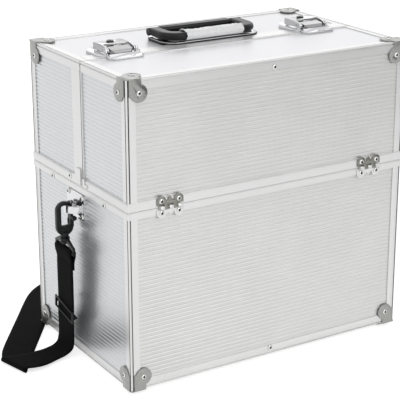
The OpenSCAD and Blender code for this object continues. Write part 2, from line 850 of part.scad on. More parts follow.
module draw_hook() {
    nose = meet_rear - 0.5;
    half = draw_hook_w / 2;
    color("silver") difference() {
        along_x(-half, half) difference() {
            union() {
                translate(latch_pivot) circle(latch_pin_r + 1.2);
                polygon([
                    [latch_pivot[0], latch_pivot[1] - 2.7], [nose + 2.2, z_top + 2.7],
                    [nose + 1.4, z_top + 1.8], [nose, z_top + 1.8], [nose, z_top + 3.6],
                    [nose + 3, z_top + 6.6],
                    [latch_pivot[0], latch_pivot[1] + 2.7]
                ]);
            }
            translate(latch_pivot) circle(latch_pin_r + run_fit);
        }
        for (side = [-1, 1]) translate([side * half, nose, z_top]) rotate([0, 0, 45])
            translate([-2.5, -2.5, 0]) cube([5, 5, 2 * latch_cover_h]);
    }
}
module key_plug() {
    color("silver") difference() {
        translate([0, plug_y, z_top + latch_cover_h - 6]) cylinder(r = plug_r, h = 6.6);
        translate([0, plug_y, z_top + latch_cover_h - 4]) {
            translate([-0.6, -2.4, 0]) cube([1.2, 4.8, 6]);
            cylinder(r = 1.2, h = 6);
        }
    }
}
module left_latch_lever() {
    translate([-latch_x, 0, 0]) latch_lever();
}
module right_latch_lever() {
    translate([latch_x, 0, 0]) latch_lever();
}
module left_draw_hook() {
    translate([-latch_x, 0, 0]) draw_hook();
}
module right_draw_hook() {
    translate([latch_x, 0, 0]) draw_hook();
}
module left_key_plug() {
    translate([-latch_x, 0, 0]) key_plug();
}
module right_key_plug() {
    translate([latch_x, 0, 0]) key_plug();
}

// Handle
module housing(grow) {
    translate([-housing_x - grow, handle_pivot - 6.5 - grow, z_top])
        cube([2 * housing_x + 2 * grow, 13 + 2 * grow, handle_z - z_top]);
}
module handle_base() {
    color("dimgray") {
        translate([0, 0, z_top]) linear_extrude(handle_base_t)
            round_rect(-handle_l - 2, handle_near - 2, handle_l + 2, handle_pivot + 10, 18);
        translate([0, 0, z_top - rail_t]) linear_extrude(rail_t) difference() {
            round_rect(-handle_l - 2, handle_near - 2, handle_l + 2, handle_pivot + 10, 18);
            translate([-case_w / 2, stile_end - case_d]) square([case_w, case_d]);
        }
        housing(0);
        along_x(-housing_x, housing_x) translate([handle_pivot, handle_z]) intersection() {
            circle(6.5);
            translate([-7, -7]) square([14, 7 + grip_t / 2]);
        }
        along_x(-handle_l + 4, handle_l - 4) translate([handle_pivot, handle_z]) circle(stud_r);
    }
}
// Bright rim on the handle's base, open in the middle
module handle_plate() {
    color("silver") difference() {
        translate([0, 0, z_top + handle_base_t]) linear_extrude(handle_plate_t) difference() {
            round_rect(-handle_l - 1, handle_near - 1, handle_l + 1, handle_pivot + 9, 17);
            round_rect(
                handle_rim_w - handle_l - 1, handle_near - 1 + handle_rim_w, handle_l + 1 - handle_rim_w,
                handle_pivot + 9 - handle_rim_w, 17 - handle_rim_w
            );
        }
        housing(0.05);
    }
}
module grip_section(grow) {
    r = grip_t / 2 - 0.2;
    round_rect(-grow, -grip_t / 2 - grow, grip_w + grow, grip_t / 2 + grow, r + grow);
}
module handle_bail() {
    bend_x = handle_l - handle_r;
    bend_y = handle_near + handle_r;
    color("dimgray") difference() {
        union() {
            along_x(-bend_x, bend_x) translate([handle_near, handle_z]) grip_section(0);
            both_ends() {
                translate([bend_x, bend_y, handle_z]) rotate([0, 0, -90]) rotate_extrude(angle = 90)
                    translate([handle_r - grip_w, 0]) grip_section(0);
                along_y(bend_y, handle_pivot) translate([handle_l - grip_w, handle_z]) grip_section(0);
                along_x(handle_l - grip_w, handle_l) translate([handle_pivot, handle_z]) circle(grip_t / 2);
            }
        }
        both_ends() along_x(handle_l - grip_w - 1, handle_l - 4 + thin_gap)
            translate([handle_pivot, handle_z]) circle(stud_r + run_fit);
    }
}
module grip_film() {
    color("white") along_x(-film_l, film_l) translate([handle_near, handle_z]) difference() {
        grip_section(film_t + thin_gap);
        grip_section(thin_gap);
    }
}

// Trays and their linkage, drawn with +Y outward
module tray(inner, level, dividers) {
    low = level - tray_h / 2;
    gap = 2 * tray_x / (dividers + 1);
    foot_1 = on_arm(arm_1, (level - arm_1[1]) / cos(arm_lean));
    difference() {
        translate([0, 0, low]) linear_extrude(tray_h) round_rect(-tray_x, inner, tray_x, tray_out, tray_r);
        translate([0, 0, low + tray_wall]) linear_extrude(tray_h) round_rect(
            -tray_x + tray_wall, inner + tray_wall, tray_x - tray_wall, tray_out - tray_wall,
            tray_r - tray_wall
        );
    }
    for (i = [1 : dividers])
        translate([-tray_x + i * gap - tray_wall / 2, inner + tray_wall / 2, low + tray_wall / 2])
            cube([tray_wall, tray_out - inner - tray_wall, tray_h * 0.85]);
    both_ends() for (step = [0, arm_step]) translate([0, -step, 0]) {
        along_x(tray_x - tray_wall / 2, arm_x - thin_gap) translate(foot_1) circle(1.5 * stud_r + 0.5);
        along_x(tray_x, arm_x + arm_t + thin_gap + stud_head) translate(foot_1) circle(stud_r);
        along_x(arm_x + arm_t + thin_gap, arm_x + arm_t + thin_gap + stud_head)
            translate(foot_1) circle(1.5 * stud_r);
    }
}
module arm(foot) {
    difference() {
        union() {
            for (far = [0, arm_short, arm_long]) translate(on_arm(foot, far)) circle(arm_w / 2);
            translate(foot) rotate(90 + arm_lean) translate([0, -arm_neck / 2]) square([arm_long, arm_neck]);
        }
        for (far = [0, arm_short, arm_long]) translate(on_arm(foot, far)) circle(stud_r + run_fit);
    }
}
module outer_arms() {
    head_x = link_x + link_t + thin_gap;
    both_ends() {
        along_x(arm_x, arm_x + arm_t) arm(arm_1);
        along_x(arm_x, head_x + stud_head) translate(link_arm) circle(stud_r);
        along_x(head_x, head_x + stud_head) translate(link_arm) circle(1.5 * stud_r);
    }
}
module inner_arms() {
    both_ends() along_x(arm_x, arm_x + arm_t) arm(arm_2);
}
module drag_links() {
    both_ends() {
        along_x(link_x, link_x + link_t) difference() {
            slot_bar(link_lid, link_arm, 4);
            translate(link_arm) circle(stud_r + run_fit);
        }
        along_x(link_x, clear_x + 3) translate(link_lid) circle(stud_r);
    }
}
module front_lower_tray() {
    color("dimgray") on_side(true) tray(tray_in_front, lower_z, lower_dividers);
}
module front_upper_tray() {
    color("dimgray") on_side(true) tray(tray_in_front, upper_z, upper_dividers);
}
module rear_lower_tray() {
    color("dimgray") tray(tray_in_rear, lower_z, lower_dividers);
}
module rear_upper_tray() {
    color("dimgray") tray(tray_in_rear, upper_z, upper_dividers);
}
module front_outer_arms() {
    color("silver") on_side(true) outer_arms();
}
module front_inner_arms() {
    color("silver") on_side(true) inner_arms();
}
module rear_outer_arms() {
    color("silver") outer_arms();
}
module rear_inner_arms() {
    color("silver") inner_arms();
}
module front_drag_links() {
    color("silver") on_side(true) drag_links();
}
module rear_drag_links() {
    color("silver") drag_links();
}

// Snap hook on the left plate, its outline as [X from the swivel axis, up]
module hook_outline() {
    difference() {
        slot_bar([0, hook_top - 6], [0, hook_low + 10], 10);
        round_rect(-4.5, gate_low - 3, 6.1, hook_top, 2.5);
        translate([3, gate_low]) square([10, gate_high - gate_low]);
    }
}
module snap_hook() {
    color("dimgray") translate([-hook_x, loop_y, 0]) {
        along_y(-hook_t / 2, hook_t / 2) hook_outline();
        along_y(-hook_t / 2 - 1.5, hook_t / 2 + 1.5) translate(gate_pin) circle(gate_pin_r);
        translate([0, 0, boss_top + side_gap]) cylinder(r = 4.5, h = hook_low + 4 - boss_top - side_gap);
        translate([0, 0, stem_low]) cylinder(r = stem_r, h = hook_low - stem_low);
        translate([0, 0, stem_low]) cylinder(r = stem_r + 1.1, h = 1.6);
    }
}
// Sprung gate between the hook's nose and shank: a bar, two cheeks round the shank and a thumb tab
module hook_gate() {
    cheek = hook_t / 2 + 0.2;
    color("dimgray") translate([-hook_x, loop_y, 0]) {
        along_y(-cheek - 1, cheek + 1) translate([6.3, gate_low + 1])
            square([3.1, gate_high - gate_low - 1 - side_gap]);
        for (y = [-cheek - 1, cheek]) along_y(y, y + 1) difference() {
            slot_bar(gate_pin, gate_pin + [0, 6], 2.2);
            translate(gate_pin) circle(gate_pin_r + run_fit);
        }
        translate([gate_pin[0], -cheek, gate_low + 7]) rotate([90, 0, 0]) cylinder(r = 1.5, h = 6);
        translate([gate_pin[0], -cheek - 5, gate_low + 7]) rotate([90, 0, 0]) cylinder(r = 2.6, h = 3);
    }
}
module left_snap_hook() {
    snap_hook();
}
module right_snap_hook() {
    mirror([1, 0, 0]) snap_hook();
}
module left_hook_gate() {
    hook_gate();
}
module right_hook_gate() {
    mirror([1, 0, 0]) hook_gate();
}

// Half of the strap's route, from its sewn end at the left eye to the middle behind the case.
// Each point has its place and half of the webbing's width as a vector.
strap_half = [
    [[-193.6, 9, 113], [0, -19, 0]],
    [[-193.5, 9, 121], [0, -19, 0]],
    [[-191.8, 9, 128], [0, -19, 0]],
    [[-191.2, 9, 133], [0, -19, 0]],
    [[-192.2, 9, 135.3], [0, -19, 0]],
    [[-194.5, 9, 136.3], [0, -19, 0]],
    [[-196.8, 9, 135.3], [0, -19, 0]],
    [[-197.8, 9, 133], [0, -19, 0]],
    [[-197.2, 9, 128], [0, -19, 0]],
    [[-195.5, 9, 121], [0, -19, 0]],
    [[-195.4, 9.5, 113], [0, -19, 0]],
    [[-194.8, 10.8, 90], [0, -19, 0]],
    [[-193.9, 13, 66], [0, -19, 0]],
    [[-192.9, 16.5, 50], [0, -19, 0]],
    [[-190.8, 21, 34], [0, -19, 0]],
    [[-189.2, 25, 20], [0, -19, 0]],
    [[-189.2, 27.5, 11], [0, -19, 0]],
    [[-191.5, 28.5, 6], [-1.5, -19, 0]],
    [[-197, 27, 3.8], [-3.5, -19, 0]],
    [[-206, 23.5, 3.2], [-5.5, -18.5, 0]],
    [[-218, 19, 3.5], [-5, -18.7, 0]],
    [[-231, 16, 4.4], [-2, -19.3, 0]],
    [[-244, 16, 5.2], [2, -20, 0]],
    [[-257, 18.5, 5.6], [5, -20.3, 0]],
    [[-259.6, 18.4, 4.9], [5, -20.3, 0]],
    [[-260.2, 18.3, 3.2], [5, -20.3, 0]],
    [[-259.6, 18.4, 1.5], [5, -20.3, 0]],
    [[-257, 18.8, 0.8], [5, -20.3, 0]],
    [[-251, 32, 0.8], [9, -17.8, 0]],
    [[-242, 47, 0.8], [12.5, -14.6, 0]],
    [[-230, 65, 0.8], [15, -11.7, 0]],
    [[-212.5, 90, 0.8], [15.5, -11, 0]],
    [[-195, 115, 0.8], [15.5, -11, 0]],
    [[-177.5, 140, 0.8], [15.5, -11, 0]],
    [[-160.5, 164.5, 0.8], [15.3, -11.3, 0]],
    [[-147, 183, 0.8], [14, -12.8, 0]],
    [[-134, 197, 0.8], [11.8, -14.9, 0]],
    [[-118, 208, 0.8], [7.6, -17.4, 0]],
    [[-95, 215, 0.8], [4, -18.6, 0]],
    [[-60, 219, 0.8], [1.5, -19, 0]],
    [[-25, 220, 0.8], [0.5, -19, 0]]
];
slider_top = strap_half[12][0];
slider_end = strap_half[13][0];
slider_run = slider_end - slider_top;
slider_turn = [asin(slider_run[1] / norm(slider_run)), atan2(slider_run[0], slider_run[2]) - 180, 0];
function flip(v) = [-v[0], v[1], v[2]];
strap_points = concat(
    strap_half,
    [[[0, 220, 0.8], [0, -19, 0]]],
    [for (i = [len(strap_half) - 1 : -1 : 0]) [flip(strap_half[i][0]), flip(strap_half[i][1])]]
);
strap_edge = [[1, 0.5], [0.97, 1], [-0.97, 1], [-1, 0.5], [-1, -0.5], [-0.97, -1], [0.97, -1], [1, -0.5]];
function unit(v) = v / norm(v);
function strap_ring(i) =
    let (
        last = len(strap_points) - 1,
        run = strap_points[min(i + 1, last)][0] - strap_points[max(i - 1, 0)][0],
        side = strap_points[i][1],
        up = unit(cross(run, side)) * strap_t / 2
    )
    [for (e = strap_edge) strap_points[i][0] + side * e[0] + up * e[1]];
module shoulder_strap() {
    n = len(strap_edge);
    rings = len(strap_points);
    color("dimgray") polyhedron(
        points = [for (i = [0 : rings - 1]) each strap_ring(i)],
        faces = concat(
            [[for (k = [0 : n - 1]) k]],
            [for (i = [0 : rings - 2], k = [0 : n - 1]) each [
                [i * n + k, (i + 1) * n + k, (i + 1) * n + (k + 1) % n],
                [i * n + k, (i + 1) * n + (k + 1) % n, i * n + (k + 1) % n]
            ]],
            [[for (k = [n - 1 : -1 : 0]) (rings - 1) * n + k]]
        )
    );
}
// Eyes that the strap is sewn round, and the slider on the left run
module strap_eye() {
    inner = eye_half - 3;
    along_x(-eye_t / 2, eye_t / 2) difference() {
        polygon([
            [-eye_half, eye_z], [-eye_half, eye_z + 6.5], [-8, boss_top], [8, boss_top],
            [eye_half, eye_z + 6.5], [eye_half, eye_z]
        ]);
        polygon([
            [-inner, eye_z - 1], [-inner, eye_z + 4.5], [-6, boss_low], [6, boss_low], [inner, eye_z + 4.5],
            [inner, eye_z - 1]
        ]);
        translate([-stem_r - 1, eye_z + 5]) square([2 * stem_r + 2, 20]);
    }
    difference() {
        translate([0, 0, boss_low]) cylinder(r = 5.5, h = boss_top - boss_low);
        translate([0, 0, eye_z]) cylinder(r = stem_r + run_fit, h = 40);
    }
    translate([0, -eye_half, eye_z]) rotate([-90, 0, 0]) cylinder(r = bar_r, h = 2 * eye_half);
}
// Slider frame round the webbing: outer bars on its outside, the middle bar behind it
module slider() {
    half = strap_w / 2 + 0.6;
    wall = 2.2;
    r = 1.1;
    off = strap_t / 2 + 0.3 + r;
    reach = 6.5;
    for (z = [-reach, reach])
        translate([-off, -half - wall, z]) rotate([-90, 0, 0]) cylinder(r = r, h = 2 * half + 2 * wall);
    translate([off, -half - wall, 0]) rotate([-90, 0, 0]) cylinder(r = r, h = 2 * half + 2 * wall);
    for (y = [-half - wall, half]) along_y(y, y + wall) {
        slot_bar([-off, -reach], [-off, reach], r);
        slot_bar([-off, 0], [off, 0], r);
    }
}
module strap_fittings() {
    color("silver") {
        both_ends() translate([-hook_x, loop_y, 0]) strap_eye();
        translate((slider_top + slider_end) / 2) rotate(slider_turn) slider();
    }
}

base_side_panels();
base_end_panels();
base_floor();
base_frame();
base_rim_rail();
bottom_corner_caps();
rubber_feet();
base_lining();
hinge_lower_leaves();
hinge_pins();
strap_loop_plates();
base_rivets();
tray_arm_brackets();
front_lid_panel();
front_lid_top();
front_lid_ends();
front_lid_frame();
front_lid_rail();
front_lid_caps();
front_lid_lining();
front_hinge_leaves();
front_lid_rivets();
latch_keepers();
rear_lid_panel();
rear_lid_top();
rear_lid_ends();
rear_lid_frame();
rear_lid_rail();
rear_lid_caps();
rear_lid_lining();
rear_hinge_leaves();
rear_lid_rivets();
meeting_seal();
latch_base_plates();
handle_base();
handle_plate();
left_latch_lever();
right_latch_lever();
left_draw_hook();
right_draw_hook();
left_key_plug();
right_key_plug();
handle_bail();
grip_film();
front_lower_tray();
front_upper_tray();
rear_lower_tray();
rear_upper_tray();
front_outer_arms();
front_inner_arms();
rear_outer_arms();
rear_inner_arms();
front_drag_links();
rear_drag_links();
left_snap_hook();
right_snap_hook();
left_hook_gate();
right_hook_gate();
shoulder_strap();
strap_fittings();
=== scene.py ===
# %% [markdown]
# # Makeup case
# This lesson dresses a packed makeup case: an aluminium case with ribbed sides, two lids over the middle, trays
# that rise on arms, chrome latches, a folding handle and a black shoulder strap. The solids come from the frame and
# stay where they are. Here they get their finishes, softened edges, and the two soft pieces that solids can't show:
# the woven strap and the thin film on the grip.

import json
import math

import bmesh
import bpy
from mathutils import Matrix, Vector, noise

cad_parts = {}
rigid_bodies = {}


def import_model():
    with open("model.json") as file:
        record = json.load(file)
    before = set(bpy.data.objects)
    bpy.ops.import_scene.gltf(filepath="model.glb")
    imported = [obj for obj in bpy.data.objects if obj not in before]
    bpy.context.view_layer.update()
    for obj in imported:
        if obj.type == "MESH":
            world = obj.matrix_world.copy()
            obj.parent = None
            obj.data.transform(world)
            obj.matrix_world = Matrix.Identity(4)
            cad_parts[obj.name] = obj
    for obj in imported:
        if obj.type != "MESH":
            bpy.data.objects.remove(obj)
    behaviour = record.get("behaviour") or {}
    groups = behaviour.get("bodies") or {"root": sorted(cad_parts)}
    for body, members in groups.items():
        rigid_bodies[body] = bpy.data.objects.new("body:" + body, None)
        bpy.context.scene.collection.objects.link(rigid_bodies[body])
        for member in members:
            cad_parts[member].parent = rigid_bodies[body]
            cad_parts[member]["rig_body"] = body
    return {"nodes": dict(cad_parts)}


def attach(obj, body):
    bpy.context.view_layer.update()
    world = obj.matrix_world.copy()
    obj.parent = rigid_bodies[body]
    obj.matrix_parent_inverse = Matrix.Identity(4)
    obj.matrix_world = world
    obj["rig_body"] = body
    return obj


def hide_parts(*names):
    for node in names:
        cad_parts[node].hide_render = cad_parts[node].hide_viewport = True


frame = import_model()
nodes = frame["nodes"]
scene = bpy.context.scene
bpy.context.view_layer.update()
# One millimetre, in Blender's metres
MM = 0.001

# %% [markdown]
# ## Camera
# A catalogue picture of a case is taken with a long lens from about a metre and a half, a little above the lid, so
# that the top shows as a narrow band. The lens is given in millimetres on a 36 mm sensor, which Blender fits to the
# longer side of the picture, here its height. The turn and tilt are written as angles, which is easier to adjust
# than a tracking constraint. A small shift of the lens moves the case in the picture without turning its uprights.

# %% Camera
PICTURE_HEIGHT = 412
FOCAL_PIXELS = 1353.7
SENSOR = 36
SHIFT = -0.02
EYE = Vector((-0.8035, -1.2701, 0.6707))
TURN, TILT = 31.907, 18.75

camera_data = bpy.data.cameras.new("studio_camera")
camera_data.sensor_fit = "AUTO"
camera_data.sensor_width = SENSOR
camera_data.lens = FOCAL_PIXELS * SENSOR / PICTURE_HEIGHT
camera_data.shift_x = camera_data.shift_y = SHIFT
camera_data.clip_start = 0.05
camera_data.clip_end = 30
camera = bpy.data.objects.new("studio_camera", camera_data)
scene.collection.objects.link(camera)
aim = Matrix.Rotation(math.radians(-TURN), 4, "Z") @ Matrix.Rotation(math.radians(90 - TILT), 4, "X")
camera.matrix_world = Matrix.Translation(EYE) @ aim
scene.camera = camera
print("lens", round(camera_data.lens, 1), "mm")

# %% [markdown]
# ## Shoulder strap
# The strap is a flat webbing, 38 mm wide. It is sewn round an eye at each end of the case, hangs down, lies in a
# fold beside the case and runs on behind it. A curve with a flat bevel twists by itself, so the band is a grid
# instead: each cross row of it is carried to a point of the route and turned to the width written there. A smooth
# interpolation between the points keeps the hang soft, and Solidify gives the webbing its thickness.

# %% Route of the strap
# Place and half width of each point, in millimetres, from the left eye to the middle behind the case
strap_half = [
    ((-193.6, 9, 113), (0, -19, 0)),
    ((-193.5, 9, 121), (0, -19, 0)),
    ((-191.8, 9, 128), (0, -19, 0)),
    ((-191.2, 9, 133), (0, -19, 0)),
    ((-192.2, 9, 135.3), (0, -19, 0)),
    ((-194.5, 9, 136.3), (0, -19, 0)),
    ((-196.8, 9, 135.3), (0, -19, 0)),
    ((-197.8, 9, 133), (0, -19, 0)),
    ((-197.2, 9, 128), (0, -19, 0)),
    ((-195.5, 9, 121), (0, -19, 0)),
    ((-195.4, 9.5, 113), (0, -19, 0)),
    ((-194.8, 10.8, 90), (0, -19, 0)),
    ((-193.9, 13, 66), (0, -19, 0)),
    ((-192.9, 16.5, 50), (0, -19, 0)),
    ((-190.8, 21, 34), (0, -19, 0)),
    ((-189.2, 25, 20), (0, -19, 0)),
    ((-189.2, 27.5, 11), (0, -19, 0)),
    ((-191.5, 28.5, 6), (-1.5, -19, 0)),
    ((-197, 27, 3.8), (-3.5, -19, 0)),
    ((-206, 23.5, 3.2), (-5.5, -18.5, 0)),
    ((-218, 19, 3.5), (-5, -18.7, 0)),
    ((-231, 16, 4.4), (-2, -19.3, 0)),
    ((-244, 16, 5.2), (2, -20, 0)),
    ((-257, 18.5, 5.6), (5, -20.3, 0)),
    ((-259.6, 18.4, 4.9), (5, -20.3, 0)),
    ((-260.2, 18.3, 3.2), (5, -20.3, 0)),
    ((-259.6, 18.4, 1.5), (5, -20.3, 0)),
    ((-257, 18.8, 0.8), (5, -20.3, 0)),
    ((-251, 32, 0.8), (9, -17.8, 0)),
    ((-242, 47, 0.8), (12.5, -14.6, 0)),
    ((-230, 65, 0.8), (15, -11.7, 0)),
    ((-212.5, 90, 0.8), (15.5, -11, 0)),
    ((-195, 115, 0.8), (15.5, -11, 0)),
    ((-177.5, 140, 0.8), (15.5, -11, 0)),
    ((-160.5, 164.5, 0.8), (15.3, -11.3, 0)),
    ((-147, 183, 0.8), (14, -12.8, 0)),
    ((-134, 197, 0.8), (11.8, -14.9, 0)),
    ((-118, 208, 0.8), (7.6, -17.4, 0)),
    ((-95, 215, 0.8), (4, -18.6, 0)),
    ((-60, 219, 0.8), (1.5, -19, 0)),
    ((-25, 220, 0.8), (0.5, -19, 0)),
]


def flipped(point):
    """The same point on the right of the case."""
    return tuple((-x, y, z) for x, y, z in point)


strap_points = strap_half + [((0, 220, 0.8), (0, -19, 0))] + [flipped(p) for p in reversed(strap_half)]
strap_points = [(Vector(at) * MM, Vector(side) * MM) for at, side in strap_points]
print("strap points:", len(strap_points))


# %% Rows of the band
# Rows between two points of the route
STEPS = 5


def between(values, i, t):
    """A smooth value between number i and the next of a list of vectors."""
    last = len(values) - 1
    a, b, c, d = values[max(i - 1, 0)], values[i], values[min(i + 1, last)], values[min(i + 2, last)]
    return b + 0.5 * t * (c - a + t * (2 * a - 5 * b + 4 * c - d + t * (3 * (b - c) + d - a)))


def rows_of(points):
    """Centre and half width of each row of the band."""
    centres, sides = [p[0] for p in points], [p[1] for p in points]
    rows = []
    for i in range(len(points) - 1):
        for step in range(STEPS):
            t = step / STEPS
            rows.append((between(centres, i, t), sides[i].lerp(sides[i + 1], t)))
    return rows + [points[-1]]


strap_rows = rows_of(strap_points)
strap_runs = [0.0]
for (before, _), (after, _) in zip(strap_rows, strap_rows[1:]):
    strap_runs.append(strap_runs[-1] + (after - before).length)
STRAP_LENGTH = strap_runs[-1]
print("strap length:", round(STRAP_LENGTH, 3), "m")


# %% Makers of new pieces
def new_piece(name, bm, material=None):
    """A finished object from a bmesh."""
    mesh = bpy.data.meshes.new(name)
    bm.to_mesh(mesh)
    bm.free()
    piece = bpy.data.objects.new(name, mesh)
    scene.collection.objects.link(piece)
    if material:
        mesh.materials.append(material)
    return piece


def carried_grid(columns, rows, place, uv_scale):
    """A grid whose corners are carried to place(column share, row share), with a UV map in the given sizes."""
    bm = bmesh.new()
    bmesh.ops.create_grid(bm, x_segments=columns, y_segments=rows, size=0.5)
    uv = bm.loops.layers.uv.new("cloth")
    for face in bm.faces:
        face.smooth = True
        for loop in face.loops:
            loop[uv].uv = ((loop.vert.co.x + 0.5) * uv_scale[0], (loop.vert.co.y + 0.5) * uv_scale[1])
    for vert in bm.verts:
        vert.co = place(vert.co.x + 0.5, vert.co.y + 0.5)
    bmesh.ops.recalc_face_normals(bm, faces=bm.faces)
    return bm


# %% Band of webbing
STRAP_WIDE, STRAP_T = 38, 1.5 * MM
# Faces from edge to edge, and how far the outer rows reach towards the written half width
ACROSS, REACH = 8, 0.985
# The webbing isn't quite flat: ripples per metre of length, their change over the width, their height in millimetres
RIPPLES, RIPPLE_SKEW, RIPPLE_HIGH = 55, 0.7, 0.12


def on_band(along, across):
    """Where a corner of the webbing lies, with a slight ripple."""
    i = round(along * (len(strap_rows) - 1))
    at, side = strap_rows[i]
    ahead = strap_rows[min(i + 1, len(strap_rows) - 1)][0] - strap_rows[max(i - 1, 0)][0]
    out = ahead.cross(side).normalized()
    off = 2 * across - 1
    ripple = noise.noise(Vector((strap_runs[i] * RIPPLES, off * RIPPLE_SKEW, 3))) * RIPPLE_HIGH * MM
    return at + side * off * REACH + out * ripple


strap_mesh = carried_grid(len(strap_rows) - 1, ACROSS, on_band, (STRAP_LENGTH / MM, STRAP_WIDE))
strap = new_piece("strap_webbing", strap_mesh)
thicken = strap.modifiers.new("thickness", "SOLIDIFY")
thicken.thickness = STRAP_T
thicken.offset = 0
thicken.use_even_offset = False
print("strap faces:", len(strap.data.polygons))

# %% [markdown]
# ## Thin film on the grip
# The handle comes from the factory with its grip wrapped in thin clear film. It is a tube of film that is loose,
# wrinkled and open at both ends, so a grid is carried round the rounded section of the grip and pushed out by
# folds that run mostly along the handle. Noise with ridges gives folds with sharp crests, which catch the light.

# %% Tube of film
GRIP_NEAR, GRIP_W, GRIP_T = 5 * MM, 16 * MM, 8.7 * MM
GRIP_Z = 355.65 * MM
FILM_HALF, FILM_T, FILM_WELD = 37 * MM, 0.08 * MM, 0.02 * MM
FILM_COLUMNS, FILM_ROWS, FILM_AROUND = 90, 56, 46
# Powers that square off the round of the grip, across and upwards
SQUARE_Y, SQUARE_Z = 0.7, 0.85
# In millimetres: slack all over, height of the folds, more of it at the open ends, most below, ragged ends
SLACK, FOLD_HIGH, FLARE, BELOW_MOST, RAGGED = 0.45, 0.75, 1.1, 0.9, 2.6
CREST = 2.6


def ridged(x, y, z):
    """Noise with sharp crests, from 0 to 1."""
    return 1 - min(1, abs(noise.noise(Vector((x, y, z)))) * CREST)


def on_grip(along, around):
    """A place on the film: a share of its length and a share of its way round the grip."""
    turn = 2 * math.pi * around
    half_y, half_z = GRIP_W / 2, GRIP_T / 2
    c, s = math.cos(turn), math.sin(turn)
    y = math.copysign(abs(c) ** SQUARE_Y, c) * half_y
    z = math.copysign(abs(s) ** SQUARE_Z, s) * half_z
    x = (2 * along - 1) * FILM_HALF
    end = abs(2 * along - 1)
    fold = ridged(along * 5.0 + 2.0 * c, s * 1.6, 1.7) + ridged(along * 12.0, c * 3.0, s * 3.0) * 0.5
    out = (SLACK + fold * (FOLD_HIGH + FLARE * end ** 5)) * MM
    if s < 0:
        out = min(out, BELOW_MOST * MM)
    away = Vector((0, c * half_z, s * half_y)).normalized()
    edge = (ridged(3.1, c * 1.5, s * 1.5) - 0.5) * RAGGED * MM * end ** 4
    return Vector((x + math.copysign(edge, x), GRIP_NEAR + half_y + y, GRIP_Z + z)) + away * out


film_mesh = carried_grid(FILM_COLUMNS, FILM_ROWS, on_grip, (2 * FILM_HALF / MM, FILM_AROUND))
bmesh.ops.remove_doubles(film_mesh, verts=film_mesh.verts, dist=FILM_WELD)
film = new_piece("grip_wrap", film_mesh)
film_wall = film.modifiers.new("wall", "SOLIDIFY")
film_wall.thickness = FILM_T
film_wall.offset = 1
print("film faces:", len(film.data.polygons))

# %% [markdown]
# ## Shared effects
# Metal that looks alike all over gives itself away. Three effects are shared by many finishes here: fine grain that
# runs one way, as rolled and brushed sheet has, large soft stains from handling, and the crossed threads of cloth.
# Each is a node group that is built once and gets its own scale and strength in every material.

# %% Node group helpers
def new_group(name, inputs, outputs):
    """An empty shader group with float or vector inputs and outputs."""
    group = bpy.data.node_groups.new(name, "ShaderNodeTree")
    for label, kind, value in inputs:
        socket = group.interface.new_socket(label, in_out="INPUT", socket_type=kind)
        if value is not None:
            socket.default_value = value
    for label, kind in outputs:
        group.interface.new_socket(label, in_out="OUTPUT", socket_type=kind)
    return group, group.nodes.new("NodeGroupInput"), group.nodes.new("NodeGroupOutput")


def math_node(tree, kind, a, b=None, clamp=False):
    """A math node whose inputs are sockets or numbers."""
    node = tree.nodes.new("ShaderNodeMath")
    node.operation = kind
    node.use_clamp = clamp
    for socket, value in zip(node.inputs, (a, b)):
        if value is None:
            continue
        if isinstance(value, (int, float)):
            socket.default_value = value
        else:
            tree.links.new(value, socket)
    return node.outputs[0]


def noise_node(tree, vector, scale, detail=3.0, roughness=0.5):
    """A noise texture on the given vector."""
    node = tree.nodes.new("ShaderNodeTexNoise")
    node.inputs["Detail"].default_value = detail
    node.inputs["Roughness"].default_value = roughness
    tree.links.new(vector, node.inputs["Vector"])
    if isinstance(scale, (int, float)):
        node.inputs["Scale"].default_value = scale
    else:
        tree.links.new(scale, node.inputs["Scale"])
    return node.outputs["Fac"]


def above(tree, value, level, gain):
    """How far a value is above a level, kept from 0 to 1."""
    return math_node(tree, "MULTIPLY", math_node(tree, "SUBTRACT", value, level), gain, clamp=True)


def plus(tree, base, mask, strength, clamp=False):
    """A value and a mask times its strength, added."""
    return math_node(tree, "ADD", base, math_node(tree, "MULTIPLY", mask, strength), clamp)


# %% Grain that runs one way
def make_grain():
    """Streaks along one direction: the vector is stretched before it reaches the noise."""
    group, inside, outside = new_group(
        "rolled_grain",
        [("Vector", "NodeSocketVector", None), ("Stretch", "NodeSocketVector", (1, 1, 1)),
         ("Scale", "NodeSocketFloat", 900.0)],
        [("Streaks", "NodeSocketFloat"), ("Fine", "NodeSocketFloat")])
    stretch = group.nodes.new("ShaderNodeVectorMath")
    stretch.operation = "MULTIPLY"
    group.links.new(inside.outputs["Vector"], stretch.inputs[0])
    group.links.new(inside.outputs["Stretch"], stretch.inputs[1])
    streaks = noise_node(group, stretch.outputs[0], inside.outputs["Scale"], detail=4.0, roughness=0.65)
    finer = math_node(group, "MULTIPLY", inside.outputs["Scale"], 2.7)
    fine = noise_node(group, inside.outputs["Vector"], finer, detail=2.0)
    group.links.new(streaks, outside.inputs["Streaks"])
    group.links.new(fine, outside.inputs["Fine"])
    return group


GRAIN = make_grain()
print("group:", GRAIN.name)


# %% Handling marks
def make_marks():
    """Large soft stains and a scatter of small dull spots, both from 0 to 1."""
    group, inside, outside = new_group(
        "handling_marks",
        [("Vector", "NodeSocketVector", None), ("Size", "NodeSocketFloat", 14.0)],
        [("Stains", "NodeSocketFloat"), ("Spots", "NodeSocketFloat")])
    soft = noise_node(group, inside.outputs["Vector"], inside.outputs["Size"], detail=5.0, roughness=0.55)
    stains = above(group, soft, 0.42, 3.2)
    smaller = math_node(group, "MULTIPLY", inside.outputs["Size"], 9.0)
    dots = noise_node(group, inside.outputs["Vector"], smaller, detail=2.0)
    spots = above(group, dots, 0.66, 9.0)
    group.links.new(stains, outside.inputs["Stains"])
    group.links.new(spots, outside.inputs["Spots"])
    return group


MARKS = make_marks()
print("group:", MARKS.name)


